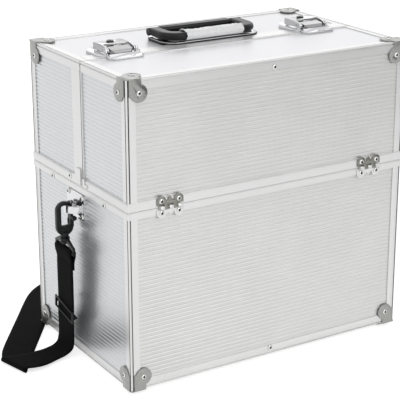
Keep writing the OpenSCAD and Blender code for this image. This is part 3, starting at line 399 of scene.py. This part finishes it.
# %% Crossed threads
def make_weave():
    """Threads from two crossed waves: their height, and a slow change of tone over the cloth."""
    group, inside, outside = new_group(
        "crossed_threads",
        [("Vector", "NodeSocketVector", None), ("Warp", "NodeSocketFloat", 1.0), ("Weft", "NodeSocketFloat", 1.0)],
        [("Height", "NodeSocketFloat"), ("Tone", "NodeSocketFloat")])
    split = group.nodes.new("ShaderNodeSeparateXYZ")
    group.links.new(inside.outputs["Vector"], split.inputs[0])
    along = math_node(group, "MULTIPLY", split.outputs["X"], inside.outputs["Weft"])
    across = math_node(group, "MULTIPLY", split.outputs["Y"], inside.outputs["Warp"])
    wave_a = math_node(group, "SINE", math_node(group, "MULTIPLY", along, 2 * math.pi))
    wave_b = math_node(group, "SINE", math_node(group, "MULTIPLY", across, 2 * math.pi))
    over = math_node(group, "MULTIPLY", wave_a, wave_b)
    height = math_node(group, "MULTIPLY", math_node(group, "ADD", over, 1.0), 0.5)
    tone = noise_node(group, inside.outputs["Vector"], 0.35, detail=4.0, roughness=0.6)
    group.links.new(height, outside.inputs["Height"])
    group.links.new(tone, outside.inputs["Tone"])
    return group


WEAVE = make_weave()
print("group:", WEAVE.name)


# %% Material helpers
def new_material(name, **settings):
    """A material with one Principled shader; settings are plain values on its sockets."""
    material = bpy.data.materials.new(name)
    material.use_nodes = True
    shader = material.node_tree.nodes["Principled BSDF"]
    for label, value in settings.items():
        shader.inputs[label.replace("_", " ").title().replace("Ior", "IOR")].default_value = value
    return material, material.node_tree, shader


def place_group(tree, group, **values):
    """A group node with its values set, and links for those that are sockets."""
    node = tree.nodes.new("ShaderNodeGroup")
    node.node_tree = group
    for label, value in values.items():
        if isinstance(value, bpy.types.NodeSocket):
            tree.links.new(value, node.inputs[label])
        else:
            node.inputs[label].default_value = value
    return node


def object_vector(tree, rotation=(0, 0, 0)):
    """Object coordinates, turned."""
    source = tree.nodes.new("ShaderNodeTexCoord")
    mapping = tree.nodes.new("ShaderNodeMapping")
    mapping.inputs["Rotation"].default_value = rotation
    tree.links.new(source.outputs["Object"], mapping.inputs["Vector"])
    return mapping.outputs["Vector"]


def tint(tree, mask, low, high):
    """A colour between two, by a mask."""
    mix = tree.nodes.new("ShaderNodeMix")
    mix.data_type = "RGBA"
    mix.inputs["A"].default_value = (*low, 1)
    mix.inputs["B"].default_value = (*high, 1)
    tree.links.new(mask, mix.inputs["Factor"])
    return mix.outputs["Result"]


def ranged(tree, mask, low, high):
    """A number from low to high, by a mask from 0 to 1."""
    node = tree.nodes.new("ShaderNodeMapRange")
    node.inputs["To Min"].default_value = low
    node.inputs["To Max"].default_value = high
    tree.links.new(mask, node.inputs["Value"])
    return node.outputs["Result"]


def bump(tree, shader, height, distance, strength=1.0):
    """A bump on the shader, its distance in metres."""
    node = tree.nodes.new("ShaderNodeBump")
    node.inputs["Distance"].default_value = distance
    node.inputs["Strength"].default_value = strength
    tree.links.new(height, node.inputs["Height"])
    tree.links.new(node.outputs["Normal"], shader.inputs["Normal"])


# %% [markdown]
# ## Metal finishes
# The panels, rails, caps and fittings are all pale metal, but each has its own sheen. The ribbed sheet is satin, with
# grain along its ribs. The rails are anodised and a little whiter. The stamped caps and hinge leaves are plated steel
# with a warmer, greyer tone, and the latches are polished. One maker takes the tone, the sheen, the direction of the
# grain and the amount of stain, so that the family stays alike.

# %% Metal maker
def make_metal(name, low, high, metallic, rough, stretch, scale=900.0, grain=0.04, stains=0.05, relief=0.012):
    """A metal with grain along one direction and soft stains in its sheen and tone."""
    material, tree, shader = new_material(name, metallic=metallic)
    vector = object_vector(tree)
    streaks = place_group(tree, GRAIN, Vector=vector, Stretch=stretch, Scale=scale)
    marks = place_group(tree, MARKS, Vector=vector, Size=13.0)
    tone = math_node(tree, "MULTIPLY", streaks.outputs["Streaks"], 0.7)
    tone = plus(tree, tone, marks.outputs["Stains"], 0.3, clamp=True)
    tree.links.new(tint(tree, tone, low, high), shader.inputs["Base Color"])
    sheen = ranged(tree, streaks.outputs["Streaks"], rough - grain, rough + grain)
    sheen = plus(tree, sheen, marks.outputs["Stains"], stains)
    sheen = plus(tree, sheen, marks.outputs["Spots"], stains, clamp=True)
    tree.links.new(sheen, shader.inputs["Roughness"])
    height = plus(tree, streaks.outputs["Streaks"], streaks.outputs["Fine"], 0.3)
    bump(tree, shader, height, relief * MM)
    return material


# %% The metals
ALONG_X = (0.03, 1.0, 1.0)
ALONG_Y = (1.0, 0.03, 1.0)
EVEN = (1.0, 1.0, 1.0)
front_ribs = make_metal("front_ribbed_sheet", (0.64, 0.64, 0.63), (0.76, 0.76, 0.75), 0.6, 0.40, ALONG_X)
# The ends are the same ribbed sheet as the front, with a darker, bluer tone: painted shade for the ends, which get
# less light than the front.
end_ribs_shaded = make_metal("end_ribbed_sheet_shaded", (0.60, 0.61, 0.62), (0.69, 0.70, 0.72), 0.75, 0.28, ALONG_Y, 1300.0,
                      grain=0.02, relief=0.002)
top_sheet = make_metal("smooth_sheet", (0.70, 0.70, 0.715), (0.79, 0.79, 0.81), 0.5, 0.34, ALONG_X, 500.0)
rail_metal = make_metal("anodised_rail", (0.70, 0.70, 0.695), (0.82, 0.82, 0.815), 0.6, 0.30, EVEN, 700.0)
cap_metal = make_metal("stamped_cap_steel", (0.26, 0.26, 0.25), (0.40, 0.40, 0.385), 0.9, 0.26, EVEN, 420.0,
                       grain=0.06, stains=0.10)
leaf_metal = make_metal("hinge_leaf_steel", (0.17, 0.17, 0.15), (0.33, 0.325, 0.30), 0.9, 0.28, EVEN, 420.0,
                        grain=0.08, stains=0.12)
rivet_metal = make_metal("rivet_steel", (0.58, 0.58, 0.56), (0.74, 0.74, 0.72), 0.95, 0.18, EVEN, 700.0, stains=0.06)
# Near black, for the inside of the rivet holes: painted shade.
rivet_hole_shade = make_metal("rivet_hole_shade", (0.03, 0.03, 0.028), (0.07, 0.07, 0.065), 0.5, 0.5, EVEN, 700.0)
arm_metal = make_metal("zinc_plated_arm", (0.52, 0.53, 0.55), (0.68, 0.69, 0.70), 0.9, 0.32, EVEN, 350.0,
                       grain=0.06, stains=0.10)
polished = make_metal("polished_chrome", (0.56, 0.56, 0.575), (0.70, 0.70, 0.71), 0.97, 0.10, EVEN, 500.0,
                      grain=0.02, relief=0.003)
# The draw hooks get a darker tone than the polished parts: painted shade and dark reflection for the hook's face seen
# through each lever.
draw_hook_shaded_steel = make_metal("draw_hook_shaded_steel", (0.30, 0.30, 0.30), (0.42, 0.42, 0.42), 0.9, 0.16, EVEN, 500.0)
# The key plugs are near black: painted shade for the keyway in each plug.
plug_dark = make_metal("key_plug_painted_shade", (0.02, 0.02, 0.02), (0.05, 0.05, 0.05), 0.6, 0.35, EVEN, 500.0)
print("metals:", GRAIN.users)

# %% [markdown]
# ## Cloth, plastic, rubber and board
# The strap is woven from thick black yarn, so its pattern follows the band's own UV map. The lining is a thin black
# cloth glued to board, and it reads object coordinates. The handle is a moulded black plastic with a soft gloss,
# the trays are duller, and the rubber is almost matt. The hooks are zinc castings with a black coat.

# %% Webbing and lining
def make_webbing():
    """Black polyester webbing, with threads of about two millimetres that follow the band."""
    material, tree, shader = new_material("black_webbing", roughness=0.85, specular_ior_level=0.06)
    source = tree.nodes.new("ShaderNodeTexCoord")
    weave = place_group(tree, WEAVE, Vector=source.outputs["UV"], Warp=0.55, Weft=0.42)
    tone = math_node(tree, "MULTIPLY", math_node(tree, "ADD", weave.outputs["Height"], weave.outputs["Tone"]), 0.5)
    tree.links.new(tint(tree, tone, (0.002, 0.002, 0.002), (0.011, 0.011, 0.012)), shader.inputs["Base Color"])
    bump(tree, shader, weave.outputs["Height"], 0.25 * MM, 0.9)
    return material


def make_lining():
    """Thin black cloth on board, with a weave of about a millimetre."""
    material, tree, shader = new_material("lining_cloth", roughness=0.88, sheen_weight=0.2, sheen_roughness=0.5)
    vector = object_vector(tree, rotation=(0.6, 0.5, 0.4))
    scaled = tree.nodes.new("ShaderNodeVectorMath")
    scaled.operation = "SCALE"
    scaled.inputs["Scale"].default_value = 1 / MM
    tree.links.new(vector, scaled.inputs[0])
    weave = place_group(tree, WEAVE, Vector=scaled.outputs[0], Warp=0.9, Weft=0.9)
    marks = place_group(tree, MARKS, Vector=vector, Size=9.0)
    tone = plus(tree, math_node(tree, "MULTIPLY", weave.outputs["Height"], 0.6), marks.outputs["Stains"], 0.3)
    tree.links.new(tint(tree, tone, (0.010, 0.010, 0.012), (0.035, 0.035, 0.038)), shader.inputs["Base Color"])
    bump(tree, shader, weave.outputs["Height"], 0.12 * MM, 0.7)
    return material


webbing = make_webbing()
lining_cloth = make_lining()
strap.data.materials.append(webbing)
print("cloths:", webbing.name, lining_cloth.name)


# %% Moulded plastic, rubber, coats and board
def make_moulded(name, low, high, rough, grain_size, relief, gloss=0.25):
    """A moulded or coated surface: an even fine texture, and soft stains in its gloss."""
    material, tree, shader = new_material(name, specular_ior_level=gloss)
    vector = object_vector(tree)
    marks = place_group(tree, MARKS, Vector=vector, Size=22.0)
    grain = noise_node(tree, vector, grain_size, roughness=0.6)
    tone = plus(tree, math_node(tree, "MULTIPLY", grain, 0.5), marks.outputs["Stains"], 0.5, clamp=True)
    tree.links.new(tint(tree, tone, low, high), shader.inputs["Base Color"])
    sheen = ranged(tree, marks.outputs["Stains"], rough, rough + 0.10)
    sheen = plus(tree, sheen, marks.outputs["Spots"], 0.08, clamp=True)
    tree.links.new(sheen, shader.inputs["Roughness"])
    bump(tree, shader, grain, relief * MM)
    return material


handle_black = make_moulded("handle_plastic", (0.004, 0.004, 0.005), (0.012, 0.012, 0.014), 0.30, 1600.0, 0.02)
tray_black = make_moulded("tray_plastic", (0.022, 0.022, 0.025), (0.040, 0.040, 0.044), 0.46, 1100.0, 0.05)
rubber_black = make_moulded("foot_rubber", (0.015, 0.015, 0.015), (0.035, 0.034, 0.033), 0.72, 700.0, 0.06)
coat_black = make_moulded("black_coat", (0.004, 0.004, 0.0045), (0.013, 0.013, 0.014), 0.32, 900.0, 0.02)
floor_board = make_moulded("case_floor_board", (0.16, 0.11, 0.07), (0.28, 0.20, 0.13), 0.62, 160.0, 0.10)
mouldings = (handle_black, tray_black, rubber_black, coat_black, floor_board)
print("moulded and coated:", [m.name for m in mouldings])


# %% Crumpled film
def make_film():
    """Thin film that is crumpled so much that it looks white, with shining folds."""
    material, tree, shader = new_material("clear_film", roughness=0.16, ior=1.49, transmission_weight=0.05,
                                          alpha=0.97)
    vector = object_vector(tree)
    creases = noise_node(tree, vector, 330.0, detail=5.0, roughness=0.6)
    tree.links.new(tint(tree, creases, (0.93, 0.93, 0.94), (1.0, 1.0, 1.0)), shader.inputs["Base Color"])
    bump(tree, shader, creases, 0.5 * MM, 0.8)
    return material


film_clear = make_film()
film.data.materials.append(film_clear)
print("film:", film_clear.name)

# %% [markdown]
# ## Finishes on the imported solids
# Every solid gets the finish of its piece. A table of names keeps this readable, and the script stops if a solid was
# forgotten, because a bare grey piece is easy to miss inside a closed case.

# %% Who wears what
FINISHES = {
    front_ribs: ["base_side_panels", "front_lid_panel", "rear_lid_panel"],
    end_ribs_shaded: ["base_end_panels", "front_lid_ends", "rear_lid_ends"],
    top_sheet: ["front_lid_top", "rear_lid_top"],
    rail_metal: ["base_frame", "base_rim_rail", "front_lid_frame", "front_lid_rail", "rear_lid_frame",
                 "rear_lid_rail", "hinge_lower_leaves"],
    cap_metal: ["bottom_corner_caps", "front_lid_caps", "rear_lid_caps"],
    leaf_metal: ["front_hinge_leaves", "rear_hinge_leaves"],
    rivet_metal: ["base_rivets", "front_lid_rivets", "rear_lid_rivets"],
    arm_metal: ["hinge_pins", "tray_arm_brackets", "front_outer_arms", "front_inner_arms", "rear_outer_arms",
                "rear_inner_arms", "front_drag_links", "rear_drag_links"],
    polished: ["strap_loop_plates", "latch_keepers", "latch_base_plates", "handle_plate", "left_latch_lever",
               "right_latch_lever"],
    draw_hook_shaded_steel: ["left_draw_hook", "right_draw_hook"],
    plug_dark: ["left_key_plug", "right_key_plug"],
    lining_cloth: ["base_lining", "front_lid_lining", "rear_lid_lining"],
    floor_board: ["base_floor"],
    rubber_black: ["rubber_feet", "meeting_seal"],
    tray_black: ["front_lower_tray", "front_upper_tray", "rear_lower_tray", "rear_upper_tray"],
    handle_black: ["handle_base", "handle_bail"],
    coat_black: ["left_snap_hook", "right_snap_hook", "left_hook_gate", "right_hook_gate", "strap_fittings"],
    webbing: ["shoulder_strap"],
    film_clear: ["grip_film"],
}
finish_of = {name: material for material, names in FINISHES.items() for name in names}
missing = sorted(set(nodes) - set(finish_of))
assert not missing, missing
for name, node in nodes.items():
    node.data.materials.clear()
    node.data.materials.append(finish_of[name])
print("finished solids:", len(finish_of))

# %% [markdown]
# ## Softened edges
# Stamped sheet and mouldings have no knife edges: a thin round catches a line of light along every rim. The solid
# itself may not change, so a copy is merged, its flat faces are joined again, and a narrow bevel with hardened
# normals rounds what is sharper than 35 degrees. The copy stands for the solid and rides on the same body.

# %% Copies that stand for a solid
WELD = 0.002 * MM


def merged_copy(name):
    """A bmesh of a solid, its loose triangles joined."""
    bm = bmesh.new()
    bm.from_mesh(nodes[name].data)
    bmesh.ops.remove_doubles(bm, verts=bm.verts, dist=WELD)
    return bm


def stand_for(piece, name):
    """Give a piece the body of a solid, in the solid's place, and hide the solid."""
    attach(piece, nodes[name]["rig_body"])
    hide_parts(name)


# %% Softened copies
FLAT, SHARP = math.radians(0.6), math.radians(35)
ROUND_SEGMENTS = 2


def softened(name, width):
    """A copy of a solid with its sharp edges rounded."""
    bm = merged_copy(name)
    bmesh.ops.dissolve_limit(bm, angle_limit=FLAT, verts=bm.verts, edges=bm.edges)
    for face in bm.faces:
        face.smooth = True
    piece = new_piece(name + ".soft", bm, finish_of[name])
    edge_round = piece.modifiers.new("round", "BEVEL")
    edge_round.width = width * MM
    edge_round.segments = ROUND_SEGMENTS
    edge_round.limit_method = "ANGLE"
    edge_round.angle_limit = SHARP
    edge_round.profile = 0.5
    edge_round.harden_normals = True
    stand_for(piece, name)


# Width of the round on each piece, in millimetres
SOFTENED = {
    "front_lid_caps": 0.3, "rear_lid_caps": 0.3, "bottom_corner_caps": 0.3, "front_hinge_leaves": 0.2,
    "rear_hinge_leaves": 0.2, "hinge_lower_leaves": 0.2, "latch_base_plates": 0.3, "latch_keepers": 0.25,
    "left_latch_lever": 0.4, "right_latch_lever": 0.4, "handle_base": 0.3, "handle_plate": 0.2,
    "handle_bail": 0.5, "left_snap_hook": 0.5, "right_snap_hook": 0.5, "strap_loop_plates": 0.25,
    "strap_fittings": 0.3,
}
for name, width in SOFTENED.items():
    softened(name, width)
print("softened:", len(SOFTENED))

# %% [markdown]
# ## Dark grooves
# A narrow groove runs along every edge extrusion. Shade falls in the upright ones, so each reads as a thin dark line
# beside a corner. A copy of the frame keeps its shape, and only the faces that lie in such a groove get a darker
# finish, painted shade that is darker on the lids than on the base: those just below one side of the case and a
# little way in from the next.

# %% Frames with dark grooves
GROOVE_IN, GROOVE_W, GROOVE_DEEP = 1.6 * MM, 1.4 * MM, 1.1 * MM
GROOVE_SLACK = 0.06 * MM
CASE_HALF_X, CASE_HALF_Y = 180 * MM, 113 * MM


def in_groove(at):
    """Whether a place lies inside a groove of an upright edge extrusion."""
    nearer, farther = sorted((CASE_HALF_X - abs(at.x), CASE_HALF_Y - abs(at.y)))
    return (GROOVE_SLACK / 3 < nearer < GROOVE_DEEP + GROOVE_SLACK
            and GROOVE_IN - GROOVE_SLACK < farther < GROOVE_IN + GROOVE_W + GROOVE_SLACK)


def grooved(name, groove_shade):
    """A copy of a frame whose upright grooves are painted dark as shade."""
    bm = merged_copy(name)
    for face in bm.faces:
        face.material_index = 1 if in_groove(face.calc_center_median()) else 0
    piece = new_piece(name + ".soft", bm, finish_of[name])
    piece.data.materials.append(groove_shade)
    stand_for(piece, name)
    print(name, "groove faces:", sum(1 for p in piece.data.polygons if p.material_index))


# The groove finishes are painted shade: very dark on the lids, mid grey on the base.
lid_groove = make_metal("lid_groove_painted_shade", (0.06, 0.055, 0.05), (0.13, 0.12, 0.11), 0.3, 0.6, EVEN)
base_groove = make_metal("base_groove_painted_shade", (0.30, 0.295, 0.29), (0.42, 0.415, 0.41), 0.4, 0.5, EVEN)
grooved("base_frame", base_groove)
grooved("front_lid_frame", lid_groove)
grooved("rear_lid_frame", lid_groove)

# %% [markdown]
# ## Hollow rivets
# Tubular rivets have a hole in a bright rolled head, and the shade in that hole is a dark dot, which is what the eye
# finds first on such a case. Each node holds many rivets, so its copy is split into islands. An island's axis is the
# direction in which its box differs from the other two, and its head is the end with the widest ring. The small faces
# round the axis at the head get a dark finish, which is painted shade, and the hole is opened a little wider and
# deeper.

# %% Islands and axes
def islands(bm):
    """Lists of the corners that hang together."""
    left = set(bm.verts)
    found = []
    while left:
        island, waiting = [], [left.pop()]
        while waiting:
            vert = waiting.pop()
            island.append(vert)
            for edge in vert.link_edges:
                other = edge.other_vert(vert)
                if other in left:
                    left.remove(other)
                    waiting.append(other)
        found.append(island)
    return found


def unit(axis):
    """The unit vector along an axis, 0 to 2."""
    return Vector([1.0 if i == axis else 0.0 for i in range(3)])


def from_axis(place, middle, axis):
    """The way from an axis through the middle to a place, square to the axis."""
    return (place - middle) - (place - middle).project(unit(axis))


def box_of(island):
    """The middle and the size of the box round a list of corners."""
    low = Vector([min(v.co[i] for v in island) for i in range(3)])
    high = Vector([max(v.co[i] for v in island) for i in range(3)])
    return (low + high) / 2, high - low


# %% Rivets with dark holes
HEAD_R = 3.1 * MM
# Shares of the head's radius: its rim lies beyond the first, the mouth of its hole within the second, and the floor
# of its hole within the third
RIM, MOUTH, FLOOR = 0.9, 0.4, 0.3
# Radius of the hole in the solid and in the copy, as shares of the same
HOLE_WAS, HOLE_IS = 0.33, 0.45
# The head is this share of the length or more from the middle, and the floor of the hole goes this much deeper
HEAD_FROM, DEEPER = 0.15, 0.35 * MM


def hollow_rivets(name):
    """A copy of a node of rivets whose holes are open and painted dark as shade."""
    bm = merged_copy(name)
    rivets = islands(bm)
    inner = set()
    for island in rivets:
        middle, size = box_of(island)
        gaps = [abs(size[(i + 1) % 3] - size[(i + 2) % 3]) for i in range(3)]
        axis = gaps.index(min(gaps))
        rim = [v.co[axis] for v in island if from_axis(v.co, middle, axis).length > RIM * HEAD_R]
        way = 1 if sum(rim) / len(rim) > middle[axis] else -1
        for vert in island:
            across = from_axis(vert.co, middle, axis)
            at_head = (vert.co[axis] - middle[axis]) * way > HEAD_FROM * size[axis]
            if at_head and across.length < MOUTH * HEAD_R:
                inner.add(vert)
                vert.co += across * (HOLE_IS / HOLE_WAS - 1)
                if across.length < FLOOR * HEAD_R:
                    vert.co[axis] -= way * DEEPER
    for face in bm.faces:
        face.smooth = True
        face.material_index = 1 if all(v in inner for v in face.verts) else 0
    piece = new_piece(name + ".soft", bm, rivet_metal)
    piece.data.materials.append(rivet_hole_shade)
    stand_for(piece, name)
    print(name, "rivets:", len(rivets))


for name in ("base_rivets", "front_lid_rivets", "rear_lid_rivets"):
    hollow_rivets(name)

# %% [markdown]
# ## What each soft piece is
# The strap is a free cord in the frame's terms: a flat band of a known length that leaves one eye, lies on the
# ground and goes back into the other. It rides on the base. The film rides on the handle that it wraps.

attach(strap, "base")
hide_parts("shoulder_strap")
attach(film, "handle")
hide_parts("grip_film")

# %% [markdown]
# ## Studio
# A pale sweep and soft boxes make an even light: a wide one above, a tall one at the right of the camera for the
# front, and a weaker one at the left for the end. The background is white for the camera and for what reflects it,
# by the colour of the sweep and of the world, and not by more light. A dark card outside the picture gives the
# polished metal something to draw its dark lines from.

# %% Light
def soft_box(name, size, power, at, towards):
    """An area lamp that looks at a point."""
    data = bpy.data.lights.new(name, "AREA")
    data.shape = "RECTANGLE"
    data.size, data.size_y = size
    data.energy = power
    lamp = bpy.data.objects.new(name, data)
    lamp.location = at
    lamp.rotation_euler = (Vector(towards) - Vector(at)).to_track_quat("-Z", "Y").to_euler()
    scene.collection.objects.link(lamp)


soft_box("top_box", (2.2, 2.2), 7, (-0.2, -0.1, 2.2), (0, 0, 0.2))
soft_box("front_box", (1.6, 1.8), 15.5, (0.7, -2.3, 1.1), (0, 0, 0.2))
soft_box("end_box", (1.2, 1.6), 3, (-2.3, -0.4, 0.9), (0, 0, 0.2))
soft_box("back_box", (2.6, 0.7), 5, (1.35, 2.2, 1.3), (0, 0, 0.35))


# %% World
def seen_directly(tree):
    """1 for rays from the camera, a mirror or glass, and 0 for light that falls on the object."""
    path = tree.nodes.new("ShaderNodeLightPath")
    either = math_node(tree, "ADD", path.outputs["Is Camera Ray"], path.outputs["Is Glossy Ray"])
    return math_node(tree, "ADD", either, path.outputs["Is Transmission Ray"], clamp=True)


# Strength of the world where it lights the object, and where it is seen
WORLD_LIT, WORLD_SEEN = 0.5, 1.0
world = bpy.data.worlds.new("studio")
scene.world = world
world.use_nodes = True
sky = world.node_tree.nodes["Background"]
world_level = ranged(world.node_tree, seen_directly(world.node_tree), WORLD_LIT, WORLD_SEEN)
world.node_tree.links.new(world_level, sky.inputs["Strength"])
sky.inputs["Color"].default_value = (1.0, 1.0, 1.0, 1)
print("world:", world.name)

# %% Sweep and card
# Side of the sweep and how far it lies below the object, in metres, and its glow where it is seen
SWEEP_SIZE, SWEEP_DROP = 14, 0.0005
SWEEP_GLOW = 0.68


def make_sweep():
    """White card: it keeps the shadow, and shows a little lighter to the camera."""
    material, tree, shader = new_material("white_card", roughness=0.9)
    vector = object_vector(tree)
    paper = noise_node(tree, vector, 60.0, detail=2.0)
    tree.links.new(tint(tree, paper, (0.76, 0.76, 0.765), (0.80, 0.80, 0.80)), shader.inputs["Base Color"])
    shader.inputs["Emission Strength"].default_value = 1.0
    seen = seen_directly(tree)
    glow = tree.nodes.new("ShaderNodeCombineColor")
    level = math_node(tree, "MULTIPLY", seen, SWEEP_GLOW)
    for label in ("Red", "Green", "Blue"):
        tree.links.new(level, glow.inputs[label])
    tree.links.new(glow.outputs["Color"], shader.inputs["Emission Color"])
    return material


def stage_card(name, size, at, turn, material):
    """A flat card of the studio."""
    bm = bmesh.new()
    bmesh.ops.create_grid(bm, x_segments=1, y_segments=1, size=0.5)
    bmesh.ops.scale(bm, vec=(size[0], size[1], 1), verts=bm.verts)
    bmesh.ops.transform(bm, matrix=Matrix.Translation(at) @ turn.to_4x4(), verts=bm.verts)
    card = new_piece(name, bm, material)
    return card


stage_card("floor_sweep", (SWEEP_SIZE, SWEEP_SIZE), Vector((0, 0, -SWEEP_DROP)), Matrix.Identity(3), make_sweep())
dark_card = new_material("dark_card", roughness=0.8, base_color=(0.03, 0.03, 0.035, 1))[0]
card_at, card_towards = Vector((0.9, -1.25, 0.35)), Vector((0.1, 0, 0.35))
card_turn = (card_towards - card_at).to_track_quat("Z", "Y").to_matrix()
stage_card("card_front", (1.0, 0.6), card_at, card_turn, dark_card).visible_camera = False
scene.view_settings.view_transform = "Standard"
print("stage ready")
